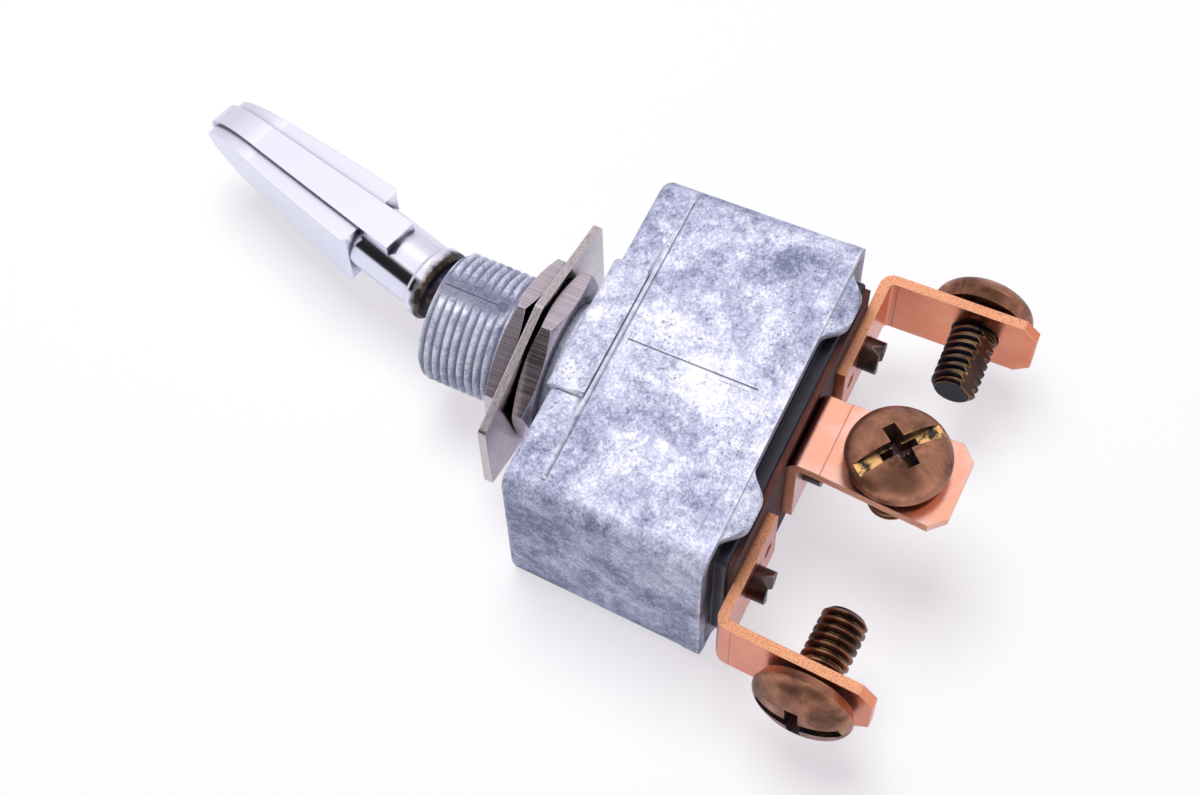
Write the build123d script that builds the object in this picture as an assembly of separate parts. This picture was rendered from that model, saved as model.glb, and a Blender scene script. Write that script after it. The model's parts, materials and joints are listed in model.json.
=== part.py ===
from build123d import *
import math
import os

# Panel toggle switch, in millimetres.
# The pieces are drawn with the bushing's axis along +Z, the closed end of the housing at z = 0
# and the terminals below it. to_row_frame then lays the switch on its long side.

# Housing: a die casting in one piece with its bushing
HOUSING_LENGTH = 32.9
HOUSING_DEPTH = 17.8
HOUSING_HEIGHT = 18.5
HOUSING_CORNER = 1.7
HOUSING_TOP_EDGE = 0.9
HOUSING_WALL = 1.2
HOUSING_ROOF = 1.6
DRAFT_ANGLE = 1.5
RIM_BAND_HEIGHT = 1.6
RIM_BAND_PROUD = 0.06

# Raised line across each long side, and the boss that runs over its upper edge
LINE_END_GAP = 1.75
LINE_DROP = 3.3
LINE_WIDTH = 0.45
LINE_PROUD = 0.14
BOSS_WIDTH = 13.2
BOSS_DROP = 3.0
BOSS_PROUD = 0.42
BOSS_CORNER = 0.35
BOSS_EDGE = 0.8

# Lobes of the rim that are pressed over the base
LOBE_INNER = 6.2
LOBE_FROM_END = 2.05
LOBE_DROP = 1.9
LOBE_SLOPE = 3.3
LOBE_SWEEP = 1.5
LOBE_BEND = 9.0

# Bushing
SHOULDER_STEP = 0.65
SHOULDER_HEIGHT = 1.5
SHOULDER_FILLET = 0.7
BUSHING_RADIUS = 5.95
THREAD_HALF_DEPTH = 0.25
BUSHING_END = 14.0
BUSHING_CHAMFER = 0.65
BUSHING_WALL = 1.35
LEVER_SLOT_HEIGHT = 1.2

# Nuts and the plate between them
NUT_WALL = 1.195
NUT_SIDES = 6
NUT_BEVEL = 0.45
NUT_FACE_INSET = 0.1
NUT_CLEARANCE = 0.07
BACK_NUT_GAP = 0.5
BACK_NUT_THICKNESS = 1.8
BACK_NUT_TURN = 19.0
FRONT_NUT_THICKNESS = 1.6
FRONT_NUT_TURN = 25.5
PLATE_LENGTH = 22.8
PLATE_DEPTH = 16.8
PLATE_END_WIDTH = 9.4
PLATE_THICKNESS = 0.75
PLATE_CORNER = 0.6
PLATE_GAP_BACK = 0.15
PLATE_GAP_FRONT = 0.2
PLATE_BORE_CLEARANCE = 0.15

# Lever, measured from its pivot along its own axis
PIVOT_HEIGHT = 8.0
THROW = 15.8
BALL_CLEARANCE = 0.4
NECK_RADIUS = 2.5
COLLAR_ABOVE_BUSHING = 1.7
COLLAR_HEIGHT = 1.7
COLLAR_RADIUS = 3.5
COLLAR_EDGE = 0.35
SHANK_RADIUS = 3.175
SHANK_LENGTH = 3.1
BAR_LENGTH = 23.7
BAR_DEPTH = 7.9
BAR_WAIST_DEPTH = 5.3
BAR_NOSE_LENGTH = 6.2
BAR_THICKNESS = 3.5
BAR_TIP_THICKNESS = 2.3
PAD_FROM_SHANK = 3.7
PAD_END_GAP = 0.6
PAD_LEDGE = 0.35
PAD_HEIGHT = 1.95
PAD_TIP_HEIGHT = 1.0
PAD_END_BEVEL = 0.35
TAIL_RADIUS = 2.3
TAIL_LENGTH = 10.5
SPRING_BORE_TOP = 2.2
PIN_RADIUS = 0.5
PIN_RECESS = 0.45
PIN_PRESS = 0.01
PIN_RUNNING = 0.06

# Plunger and its spring
PLUNGER_RADIUS = 1.34
PLUNGER_RUNNING = 0.06
PLUNGER_TOP = 6.2
SPRING_WIRE_RADIUS = 0.17
SPRING_RADIUS = 1.05
SPRING_TURNS = 5
SPRING_END_GAP = 0.1

# Rocker, its bracket and the contacts
ROCKER_ABOVE_BASE = 3.5
ROCKER_TILT = 4.0
ROCKER_OVERHANG = 1.8
ROCKER_WIDTH = 6.0
ROCKER_THICKNESS = 1.0
ROCKER_CORNER = 1.0
SADDLE_RADIUS = 14.0
SADDLE_RISE = 0.8
SADDLE_GAP = 0.2
SADDLE_LENGTH = 15.0
TRUNNION_RADIUS = 0.8
TRUNNION_RUNNING = 0.07
EAR_GAP = 0.4
EAR_THICKNESS = 0.8
EAR_LENGTH = 3.6
BRACKET_THICKNESS = 0.8
BRACKET_FOOT_LENGTH = 6.0
BUTTON_RADIUS = 1.9
BUTTON_HEIGHT = 0.65
CONTACT_RADIUS = 2.1
CONTACT_GAP = 0.1

# Base and the sheet below it
BASE_RECESS = 3.0
BASE_REACH = 1.2
BASE_FIT = 0.08
BASE_STEP = 1.1
BASE_EDGE = 0.3
SHEET_THICKNESS = 0.5
SHEET_INSET = 0.25

# Terminals and their studs
STUD_FROM_END = 4.45
STUD_RADIUS = 1.5
STUD_FIT = 0.05
STUD_HEAD_RADIUS = 2.4
STUD_HEAD_HEIGHT = 0.8
STUD_REACH = 2.5
STUD_SLOT_DEPTH = 0.9
STUD_SLOT_WIDTH = 1.2
STRIP_THICKNESS = 0.95
STRIP_WIDTH = 7.2
STRIP_BEND_RADIUS = 1.3
END_ARM_OUT = 1.85
END_ARM_SPLAY = 2.5
END_FOOT_REACH = 4.8
END_ARM_LENGTH = 14.4
FOOT_HOLE_RADIUS = 0.75
FOOT_HOLE_FROM_STUD = 3.1
MIDDLE_ARM_IN = 2.6
MIDDLE_FOOT_REACH = 3.4
MIDDLE_ARM_LENGTH = 14.0
MIDDLE_TIP_WIDTH = 8.3
ARM_CORNER = 1.35
SCREW_DROP = 9.0
MIDDLE_SCREW_DROP = 8.3

# Terminal screws
SCREW_RADIUS = 2.085
SCREW_RUNNING = 0.065
SCREW_LENGTH = 7.6
SCREW_POINT = 0.5
END_SCREW_OUT = 0.5
MIDDLE_SCREW_OUT = 0.7
HEAD_RADIUS = 4.53
HEAD_SEAT_RADIUS = 4.1
HEAD_RIM = 0.9
HEAD_HEIGHT = 3.1
SLOT_WIDTH = 1.05
SLOT_DEPTH = 1.2
CROSS_SPAN = 4.4
CROSS_WIDTH = 0.95
CROSS_FLOOR_SPAN = 1.6
CROSS_FLOOR_WIDTH = 0.6
CROSS_DEPTH = 2.3
SCREW_TURN = {"near": 97.0, "far": 70.0, "middle": -38.0}

# Heights and places that follow from the sizes above
LINE_LENGTH = HOUSING_LENGTH - 2 * LINE_END_GAP
LOBE_OUTER = HOUSING_LENGTH / 2 - LOBE_FROM_END
SHOULDER_RADIUS = BUSHING_RADIUS + SHOULDER_STEP
MOUTH_RADIUS = BUSHING_RADIUS - BUSHING_WALL
SEATED_THREAD_RADIUS = BUSHING_RADIUS - THREAD_HALF_DEPTH
NUT_ACROSS_FLATS = 2 * (BUSHING_RADIUS + NUT_WALL)
BACK_NUT_LOW = SHOULDER_HEIGHT + BACK_NUT_GAP
BACK_NUT_HIGH = BACK_NUT_LOW + BACK_NUT_THICKNESS
PLATE_LOW = BACK_NUT_HIGH + PLATE_GAP_BACK
PLATE_HIGH = PLATE_LOW + PLATE_THICKNESS
FRONT_NUT_LOW = PLATE_HIGH + PLATE_GAP_FRONT
FRONT_NUT_HIGH = FRONT_NUT_LOW + FRONT_NUT_THICKNESS
BALL_RADIUS = MOUTH_RADIUS - BALL_CLEARANCE
COLLAR_LOW = BUSHING_END - PIVOT_HEIGHT + COLLAR_ABOVE_BUSHING
BAR_START = COLLAR_LOW + COLLAR_HEIGHT + SHANK_LENGTH
BAR_END = BAR_START + BAR_LENGTH
PAD_START = BAR_START + PAD_FROM_SHANK
BASE_TOP = BASE_RECESS - HOUSING_HEIGHT
BASE_LEDGE = -HOUSING_HEIGHT
BASE_BOTTOM = BASE_LEDGE - BASE_REACH
SHEET_BOTTOM = BASE_BOTTOM - SHEET_THICKNESS
BRACKET_TOP = BASE_TOP + BRACKET_THICKNESS
ROCKER_PIVOT = BASE_TOP + ROCKER_ABOVE_BASE
SADDLE_LOW = ROCKER_PIVOT + SADDLE_RISE
SADDLE_CENTRE = SADDLE_LOW + SADDLE_RADIUS
PLUNGER_TIP = PIVOT_HEIGHT - SADDLE_LOW - SADDLE_GAP
STUD_SPACING = HOUSING_LENGTH / 2 - STUD_FROM_END
STUD_END = SHEET_BOTTOM - STUD_REACH
ROCKER_LENGTH = 2 * (STUD_SPACING + ROCKER_OVERHANG)
END_ARM_FACE = HOUSING_LENGTH / 2 + END_ARM_OUT
END_FOOT_INNER = STUD_SPACING - END_FOOT_REACH
END_ARM_TIP = SHEET_BOTTOM - END_ARM_LENGTH
SCREW_HEIGHT = SHEET_BOTTOM - SCREW_DROP
MIDDLE_ARM_FACE = HOUSING_DEPTH / 2 - MIDDLE_ARM_IN
MIDDLE_ARM_TIP = SHEET_BOTTOM - MIDDLE_ARM_LENGTH
MIDDLE_SCREW_HEIGHT = SHEET_BOTTOM - MIDDLE_SCREW_DROP
PART_SPARE = 1.0
HALF_TURN = 180
QUARTER_TURN = 90


def drafted_section(z, inset=0.0):
    """The casting's rounded outline at one height; its draft makes it grow downwards."""
    grow = -2 * z * math.tan(math.radians(DRAFT_ANGLE))
    corner = max(HOUSING_CORNER - inset, HOUSING_CORNER / 4)
    outline = RectangleRounded(
        HOUSING_LENGTH + grow - 2 * inset, HOUSING_DEPTH + grow - 2 * inset, corner
    )
    return Pos(0, 0, z) * outline


def drafted_block(z_high, z_low, inset=0.0):
    return loft([drafted_section(z_low, inset), drafted_section(z_high, inset)], ruled=True)


def upright(radius, z_low, z_high, x=0.0, y=0.0):
    """Round bar along Z between two heights."""
    height = z_high - z_low
    return Pos(x, y, z_low) * Cylinder(
        radius, height, align=(Align.CENTER, Align.CENTER, Align.MIN)
    )


def crosswise(radius, length, z):
    """Round bar along Y, centred on the bushing's axis."""
    return Pos(0, 0, z) * Rotation(QUARTER_TURN, 0, 0) * Cylinder(radius, length)


def side_at(z):
    """Distance of the long side's face from the axis at one height."""
    return HOUSING_DEPTH / 2 - z * math.tan(math.radians(DRAFT_ANGLE))


def rim_lobe():
    """One lobe of the rim, bent inwards about its root."""
    tip_inner = LOBE_INNER + LOBE_SLOPE
    tip_outer = LOBE_OUTER - LOBE_SLOPE
    outline = make_face([
        Line((LOBE_INNER, 0), (LOBE_OUTER, 0)),
        Bezier(
            (LOBE_OUTER, 0), (LOBE_OUTER - LOBE_SWEEP, 0),
            (tip_outer + LOBE_SWEEP, -LOBE_DROP), (tip_outer, -LOBE_DROP),
        ),
        Line((tip_outer, -LOBE_DROP), (tip_inner, -LOBE_DROP)),
        Bezier(
            (tip_inner, -LOBE_DROP), (tip_inner - LOBE_SWEEP, -LOBE_DROP),
            (LOBE_INNER + LOBE_SWEEP, 0), (LOBE_INNER, 0),
        ),
    ])
    lobe = extrude(Plane.XZ * outline, HOUSING_WALL)
    face = side_at(-HOUSING_HEIGHT)
    return Pos(0, face, -HOUSING_HEIGHT) * Rotation(-LOBE_BEND, 0, 0) * lobe


def boss():
    """The boss on the front long side, over the casting's upper edge."""
    reach = side_at(0) + BOSS_PROUD
    block = Box(
        BOSS_WIDTH, reach, BOSS_DROP + BOSS_PROUD, align=(Align.CENTER, Align.MIN, Align.MIN)
    )
    block = Pos(0, 0, -BOSS_DROP) * block
    low = block.edges().filter_by(Axis.Y).group_by(Axis.Z)[0]
    block = fillet(low, BOSS_CORNER)
    front = block.edges().filter_by(Axis.X).group_by(Axis.Y)[-1].group_by(Axis.Z)[-1]
    return fillet(front, BOSS_EDGE)


def raised_line():
    reach = side_at(-LINE_DROP) + LINE_PROUD
    bar = Box(LINE_LENGTH, reach, LINE_WIDTH, align=(Align.CENTER, Align.MIN, Align.CENTER))
    return Pos(0, 0, -LINE_DROP) * bar


def both_long_sides(piece):
    return piece + Rotation(0, 0, HALF_TURN) * piece


def bushing():
    """The bushing's outside: its thread to the crests where it is free, and to half its depth
    where the nuts' own threads fill the rest."""
    body = upright(BUSHING_RADIUS, FRONT_NUT_HIGH, BUSHING_END)
    body = chamfer(body.edges().sort_by(Axis.Z)[-1], BUSHING_CHAMFER)
    return body + upright(SEATED_THREAD_RADIUS, -HOUSING_ROOF, FRONT_NUT_HIGH)


def housing():
    body = drafted_block(0, -HOUSING_HEIGHT)
    body = fillet(body.faces().sort_by(Axis.Z)[-1].edges(), HOUSING_TOP_EDGE)
    body += drafted_block(
        -HOUSING_HEIGHT + RIM_BAND_HEIGHT, -HOUSING_HEIGHT, -RIM_BAND_PROUD
    )
    body += both_long_sides(boss())
    body += both_long_sides(raised_line())
    shoulder = upright(SHOULDER_RADIUS, -HOUSING_ROOF, SHOULDER_HEIGHT)
    shoulder = fillet(shoulder.edges().sort_by(Axis.Z)[-1], SHOULDER_FILLET)
    body += shoulder + bushing()
    body -= drafted_block(-HOUSING_ROOF, -HOUSING_HEIGHT - PART_SPARE, HOUSING_WALL)
    lobe = rim_lobe()
    lobes = lobe + mirror(lobe, about=Plane.YZ)
    body += both_long_sides(lobes)
    body -= upright(MOUTH_RADIUS, LEVER_SLOT_HEIGHT, BUSHING_END + PART_SPARE)
    slot_reach = 2 * (lever_tail_reach() + HOUSING_WALL / 2)
    slot = SlotOverall(slot_reach, 2 * (TAIL_RADIUS + HOUSING_WALL / 2))
    body -= Pos(0, 0, -HOUSING_ROOF - PART_SPARE) * extrude(
        slot, HOUSING_ROOF + PART_SPARE + LEVER_SLOT_HEIGHT
    )
    body -= crosswise(PIN_RADIUS + PIN_PRESS, 2 * BUSHING_RADIUS + PART_SPARE, PIVOT_HEIGHT)
    return body


def lever_tail_reach():
    """How far the swinging tail stands from the axis at its lower corner."""
    throw = math.radians(THROW)
    return TAIL_LENGTH * math.sin(throw) + TAIL_RADIUS * math.cos(throw)


def nut(z_low, thickness, turn):
    """Hex nut with its corners bevelled on both faces."""
    hexagon = RegularPolygon(
        NUT_ACROSS_FLATS / 2, NUT_SIDES, major_radius=False, rotation=turn
    )
    body = Pos(0, 0, z_low) * extrude(hexagon, thickness)
    corner = NUT_ACROSS_FLATS / 2 / math.cos(math.pi / NUT_SIDES)
    face = NUT_ACROSS_FLATS / 2 - NUT_FACE_INSET
    z_high = z_low + thickness
    turned = Polyline(
        (0, z_low),
        (face, z_low),
        (corner, z_low + NUT_BEVEL),
        (corner, z_high - NUT_BEVEL),
        (face, z_high),
        (0, z_high),
        close=True,
    )
    body &= revolve(Plane.XZ * make_face(turned), Axis.Z)
    bore = SEATED_THREAD_RADIUS + NUT_CLEARANCE
    return body - upright(bore, z_low - PART_SPARE, z_high + PART_SPARE)


def plate():
    end_x = PLATE_LENGTH / 2
    end_y = PLATE_END_WIDTH / 2
    side_y = PLATE_DEPTH / 2
    outline = Polyline(
        (0, side_y),
        (end_x, end_y),
        (end_x, -end_y),
        (0, -side_y),
        (-end_x, -end_y),
        (-end_x, end_y),
        close=True,
    )
    body = Pos(0, 0, PLATE_LOW) * extrude(make_face(outline), PLATE_THICKNESS)
    body = fillet(body.edges().filter_by(Axis.Z), PLATE_CORNER)
    bore = BUSHING_RADIUS + PLATE_BORE_CLEARANCE
    return body - upright(bore, PLATE_LOW - PART_SPARE, PLATE_HIGH + PART_SPARE)


def bar_outline(inset, start, end):
    """Long outline of the grip bar: a straight taper that closes in a round nose."""
    waist = end - BAR_NOSE_LENGTH
    half_start = BAR_DEPTH / 2 - inset
    half_waist = BAR_WAIST_DEPTH / 2 - inset
    taper = (half_start - half_waist) / (waist - BAR_START)
    half_low = half_start - taper * (start - BAR_START)
    side = Line((half_low, start), (half_waist, waist))
    nose = EllipticalCenterArc((0, waist), half_waist, end - waist, arc_size=HALF_TURN)
    other = Line((-half_waist, waist), (-half_low, start))
    close = Line((-half_low, start), (half_low, start))
    return make_face([side, nose, other, close])


def bar_half_thickness(s):
    """Half the bar's thickness at a distance from the pivot."""
    share = (s - BAR_START) / (BAR_END - BAR_START)
    return (BAR_THICKNESS + share * (BAR_TIP_THICKNESS - BAR_THICKNESS)) / 2


def grip_bar():
    outline = extrude(Plane.YZ * bar_outline(0, BAR_START, BAR_END), BAR_THICKNESS, both=True)
    low = bar_half_thickness(BAR_START)
    high = bar_half_thickness(BAR_END)
    side = Polyline(
        (low, BAR_START), (high, BAR_END), (-high, BAR_END), (-low, BAR_START), close=True
    )
    return outline & extrude(Plane.XZ * make_face(side), BAR_DEPTH, both=True)


def grip_pads():
    """The raised pads on both broad faces, swelling in a long curve towards the tip."""
    end = BAR_END - PAD_END_GAP
    outline = extrude(
        Plane.YZ * bar_outline(PAD_LEDGE, PAD_START, end), BAR_THICKNESS + PAD_HEIGHT, both=True
    )
    middle = (PAD_START + end) / 2
    base = bar_half_thickness(PAD_START) + PAD_HEIGHT
    belly = bar_half_thickness(middle) + (PAD_HEIGHT + PAD_TIP_HEIGHT) / 2 + PAD_LEDGE / 2
    tip = bar_half_thickness(end) + PAD_TIP_HEIGHT
    right = ThreePointArc((base, PAD_START + PAD_END_BEVEL), (belly, middle), (tip, end))
    left = ThreePointArc((-base, PAD_START + PAD_END_BEVEL), (-belly, middle), (-tip, end))
    profile = make_face([
        right,
        Line((tip, end), (-tip, end)),
        left,
        Line((-base, PAD_START + PAD_END_BEVEL), (-base + PAD_END_BEVEL, PAD_START)),
        Line((-base + PAD_END_BEVEL, PAD_START), (base - PAD_END_BEVEL, PAD_START)),
        Line((base - PAD_END_BEVEL, PAD_START), (base, PAD_START + PAD_END_BEVEL)),
    ])
    return outline & extrude(Plane.XZ * profile, BAR_DEPTH, both=True)


def lever_throw(piece):
    """Turn a piece drawn upright about the lever's pivot to the thrown position."""
    return Pos(0, 0, PIVOT_HEIGHT) * Rotation(0, -THROW, 0) * piece


def lever():
    body = Sphere(BALL_RADIUS)
    body += upright(NECK_RADIUS, 0, COLLAR_LOW + COLLAR_EDGE)
    collar = upright(COLLAR_RADIUS, COLLAR_LOW, COLLAR_LOW + COLLAR_HEIGHT)
    collar = chamfer(collar.edges().filter_by(GeomType.CIRCLE), COLLAR_EDGE)
    body += collar
    body += upright(SHANK_RADIUS, COLLAR_LOW + COLLAR_HEIGHT / 2, PAD_START + PAD_LEDGE)
    body += grip_bar()
    body += grip_pads()
    body += upright(TAIL_RADIUS, -TAIL_LENGTH, 0)
    spring_bore = PLUNGER_RADIUS + PLUNGER_RUNNING
    body -= upright(spring_bore, -TAIL_LENGTH - PART_SPARE, -SPRING_BORE_TOP)
    body -= crosswise(PIN_RADIUS + PIN_RUNNING, 2 * BALL_RADIUS + PART_SPARE, 0)
    return lever_throw(body)


def pivot_pin():
    return crosswise(PIN_RADIUS, 2 * (BUSHING_RADIUS - PIN_RECESS), PIVOT_HEIGHT)


def plunger():
    centre = PLUNGER_RADIUS - PLUNGER_TIP
    body = upright(PLUNGER_RADIUS, centre, -PLUNGER_TOP)
    body += Pos(0, 0, centre) * Sphere(PLUNGER_RADIUS)
    return lever_throw(body)


def plunger_spring():
    low = -PLUNGER_TOP + SPRING_END_GAP + SPRING_WIRE_RADIUS
    high = -SPRING_BORE_TOP - SPRING_END_GAP - SPRING_WIRE_RADIUS
    height = high - low
    path = Helix(height / SPRING_TURNS, height, SPRING_RADIUS)
    section = Plane(origin=path @ 0, z_dir=path % 0) * Circle(SPRING_WIRE_RADIUS)
    coil = sweep(section, path=path)
    return lever_throw(Pos(0, 0, low) * coil)


def rocker_tilt(piece):
    """Turn a piece drawn level about the rocker's pivot to its rest position."""
    return Pos(0, 0, ROCKER_PIVOT) * Rotation(0, ROCKER_TILT, 0) * Pos(0, 0, -ROCKER_PIVOT) * piece


def rocker():
    strip = Pos(0, 0, ROCKER_PIVOT) * Box(ROCKER_LENGTH, ROCKER_WIDTH, ROCKER_THICKNESS)
    strip = fillet(strip.edges().filter_by(Axis.Z), ROCKER_CORNER)
    half = SADDLE_LENGTH / 2
    lip = SADDLE_CENTRE - math.sqrt(SADDLE_RADIUS**2 - half**2)
    profile = make_face([
        ThreePointArc((-half, lip), (0, SADDLE_LOW), (half, lip)),
        Line((half, lip), (half, ROCKER_PIVOT)),
        Line((half, ROCKER_PIVOT), (-half, ROCKER_PIVOT)),
        Line((-half, ROCKER_PIVOT), (-half, lip)),
    ])
    saddle = extrude(Plane.XZ * profile, ROCKER_WIDTH / 2, both=True)
    trunnion_length = ROCKER_WIDTH + 2 * (EAR_GAP + EAR_THICKNESS)
    body = strip + saddle + crosswise(TRUNNION_RADIUS, trunnion_length, ROCKER_PIVOT)
    return rocker_tilt(body)


def rocker_contact(side):
    """Silver button under one end of the rocker."""
    strip_low = ROCKER_PIVOT - ROCKER_THICKNESS / 2
    button = upright(BUTTON_RADIUS, strip_low - BUTTON_HEIGHT, strip_low, side * STUD_SPACING)
    return rocker_tilt(button)


def rocker_bracket():
    """Channel on the middle stud whose ears carry the rocker."""
    inner = ROCKER_WIDTH / 2 + EAR_GAP
    outer = inner + EAR_THICKNESS
    foot = Pos(0, 0, BASE_TOP) * Box(
        BRACKET_FOOT_LENGTH, 2 * outer, BRACKET_THICKNESS,
        align=(Align.CENTER, Align.CENTER, Align.MIN),
    )
    crown = EAR_LENGTH / 2
    ear_height = ROCKER_PIVOT - BASE_TOP
    ear = Pos(0, inner, BASE_TOP) * Box(
        EAR_LENGTH, EAR_THICKNESS, ear_height, align=(Align.CENTER, Align.MIN, Align.MIN)
    )
    round_top = Pos(0, inner + EAR_THICKNESS / 2, ROCKER_PIVOT) * Rotation(QUARTER_TURN, 0, 0) * Cylinder(
        crown, EAR_THICKNESS
    )
    ears = both_long_sides(ear + round_top)
    body = foot + ears
    body -= crosswise(TRUNNION_RADIUS + TRUNNION_RUNNING, 2 * outer + PART_SPARE, ROCKER_PIVOT)
    return body - upright(STUD_RADIUS + STUD_FIT, BASE_TOP - PART_SPARE, BRACKET_TOP + PART_SPARE)


def fixed_contact_top():
    """Height at which the pressed end of the rocker stops above its fixed contact."""
    tilt = math.radians(ROCKER_TILT)
    drop = ROCKER_THICKNESS / 2 + BUTTON_HEIGHT
    edge = STUD_SPACING + BUTTON_RADIUS
    return ROCKER_PIVOT - drop * math.cos(tilt) - edge * math.sin(tilt) - CONTACT_GAP


def fixed_contact(side):
    low = BASE_TOP + STUD_HEAD_HEIGHT
    return upright(CONTACT_RADIUS, low, fixed_contact_top(), side * STUD_SPACING)


def stud_holes(radius, z_low, z_high):
    holes = [upright(radius, z_low, z_high, side * STUD_SPACING) for side in (-1, 0, 1)]
    return holes[0] + holes[1] + holes[2]


def base():
    """Moulded insulator; its lower part steps in where the rim lobes close over it."""
    fit = HOUSING_WALL + BASE_FIT
    body = drafted_block(BASE_TOP, BASE_LEDGE, fit)
    foot = drafted_block(BASE_LEDGE, BASE_BOTTOM, fit + BASE_STEP)
    foot = fillet(foot.faces().sort_by(Axis.Z)[0].edges(), BASE_EDGE)
    body += foot
    return body - stud_holes(
        STUD_RADIUS + STUD_FIT, BASE_BOTTOM - PART_SPARE, BASE_TOP + PART_SPARE
    )


def insulating_sheet():
    inset = HOUSING_WALL + BASE_FIT + BASE_STEP + SHEET_INSET
    outline = Pos(0, 0, -SHEET_THICKNESS) * drafted_section(BASE_BOTTOM, inset)
    body = extrude(outline, SHEET_THICKNESS)
    return body - stud_holes(
        STUD_RADIUS + STUD_FIT, SHEET_BOTTOM - PART_SPARE, BASE_BOTTOM + PART_SPARE
    )


def strip_path(foot_inner, arm_face, arm_tip, splay):
    """Middle line of a bent strip: along the foot, round the bend and down the arm."""
    half = STRIP_THICKNESS / 2
    foot_z = SHEET_BOTTOM - half
    lean = math.tan(math.radians(splay))
    corner = arm_face - half
    tip = corner + (foot_z - arm_tip) * lean
    return FilletPolyline(
        (foot_inner, 0, foot_z),
        (corner, 0, foot_z),
        (tip, 0, arm_tip),
        radius=STRIP_BEND_RADIUS - half,
    )


def arm_plane(arm_face, splay, screw_z):
    """Plane on the arm's outer face at its screw hole, with its normal pointing outwards."""
    lean = math.radians(splay)
    foot_z = SHEET_BOTTOM - STRIP_THICKNESS / 2
    half = STRIP_THICKNESS / 2
    face_x = arm_face - half + (foot_z - screw_z) * math.tan(lean) + half / math.cos(lean)
    outwards = (math.cos(lean), 0, math.sin(lean))
    return Plane(origin=(face_x, 0, screw_z), x_dir=(0, 1, 0), z_dir=outwards)


def terminal_strip(foot_inner, arm_face, arm_tip, tip_width, splay, screw_z, stud_x):
    """Bent copper strip with its arm reaching out along +X before it turns down."""
    path = strip_path(foot_inner, arm_face, arm_tip, splay)
    section = Plane(origin=path @ 0, x_dir=(0, 1, 0), z_dir=(1, 0, 0)) * Rectangle(
        max(STRIP_WIDTH, tip_width), STRIP_THICKNESS
    )
    body = sweep(section, path=path, transition=Transition.RIGHT)
    foot_top = SHEET_BOTTOM + PART_SPARE
    bend_low = SHEET_BOTTOM - STRIP_BEND_RADIUS - STRIP_THICKNESS
    half = STRIP_WIDTH / 2
    tip_half = tip_width / 2
    outline = Polyline(
        (-half, foot_top),
        (-half, bend_low),
        (-tip_half, arm_tip + ARM_CORNER),
        (-tip_half + ARM_CORNER, arm_tip),
        (tip_half - ARM_CORNER, arm_tip),
        (tip_half, arm_tip + ARM_CORNER),
        (half, bend_low),
        (half, foot_top),
        close=True,
    )
    body &= extrude(Plane.YZ * make_face(outline), 2 * END_ARM_FACE, both=True)
    hole = Cylinder(SCREW_RADIUS + SCREW_RUNNING, 4 * STRIP_THICKNESS)
    body -= arm_plane(arm_face, splay, screw_z).location * hole
    return body - upright(
        STUD_RADIUS + STUD_FIT,
        SHEET_BOTTOM - STRIP_THICKNESS - PART_SPARE,
        SHEET_BOTTOM + PART_SPARE,
        stud_x,
    )


def end_terminal():
    strip = terminal_strip(
        END_FOOT_INNER, END_ARM_FACE, END_ARM_TIP, STRIP_WIDTH, END_ARM_SPLAY, SCREW_HEIGHT,
        STUD_SPACING,
    )
    return strip - upright(
        FOOT_HOLE_RADIUS,
        SHEET_BOTTOM - STRIP_THICKNESS - PART_SPARE,
        SHEET_BOTTOM + PART_SPARE,
        STUD_SPACING - FOOT_HOLE_FROM_STUD,
    )


def middle_terminal():
    strip = terminal_strip(
        -MIDDLE_FOOT_REACH, MIDDLE_ARM_FACE, MIDDLE_ARM_TIP, MIDDLE_TIP_WIDTH, 0,
        MIDDLE_SCREW_HEIGHT, 0,
    )
    return Rotation(0, 0, QUARTER_TURN) * strip


def terminal_stud(x, head_low):
    """Contact stud with a round head inside and a slotted end below its strip."""
    body = upright(STUD_RADIUS, STUD_END, head_low, x)
    body += upright(STUD_HEAD_RADIUS, head_low, head_low + STUD_HEAD_HEIGHT, x)
    half = STUD_SLOT_WIDTH / 2
    notch = Polyline(
        (-half, STUD_END - PART_SPARE),
        (-half, STUD_END),
        (0, STUD_END + STUD_SLOT_DEPTH),
        (half, STUD_END),
        (half, STUD_END - PART_SPARE),
        close=True,
    )
    cutter = extrude(Plane.XZ * make_face(notch), 2 * STUD_RADIUS, both=True)
    return body - Pos(x, 0, 0) * cutter


def screw():
    """Terminal screw: domed head with a slot and a cross recess, underside at z = 0."""
    dome = make_face([
        Line((0, 0), (HEAD_SEAT_RADIUS, 0)),
        Line((HEAD_SEAT_RADIUS, 0), (HEAD_RADIUS, HEAD_RIM)),
        EllipticalCenterArc(
            (0, HEAD_RIM), HEAD_RADIUS, HEAD_HEIGHT - HEAD_RIM, arc_size=QUARTER_TURN
        ),
        Line((0, HEAD_HEIGHT), (0, 0)),
    ])
    body = revolve(Plane.XZ * dome, Axis.Z)
    shank = upright(SCREW_RADIUS, -SCREW_LENGTH, HEAD_RIM)
    shank = chamfer(shank.edges().sort_by(Axis.Z)[0], SCREW_POINT)
    body += shank
    slot = Box(
        2 * HEAD_RADIUS + PART_SPARE, SLOT_WIDTH, HEAD_HEIGHT,
        align=(Align.CENTER, Align.CENTER, Align.MIN),
    )
    body -= Pos(0, 0, HEAD_HEIGHT - SLOT_DEPTH) * slot
    wing = loft([
        Pos(0, 0, HEAD_HEIGHT - CROSS_DEPTH) * Rectangle(CROSS_FLOOR_SPAN, CROSS_FLOOR_WIDTH),
        Pos(0, 0, HEAD_HEIGHT) * Rectangle(CROSS_SPAN, CROSS_WIDTH),
    ])
    return body - wing - Rotation(0, 0, QUARTER_TURN) * wing


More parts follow.
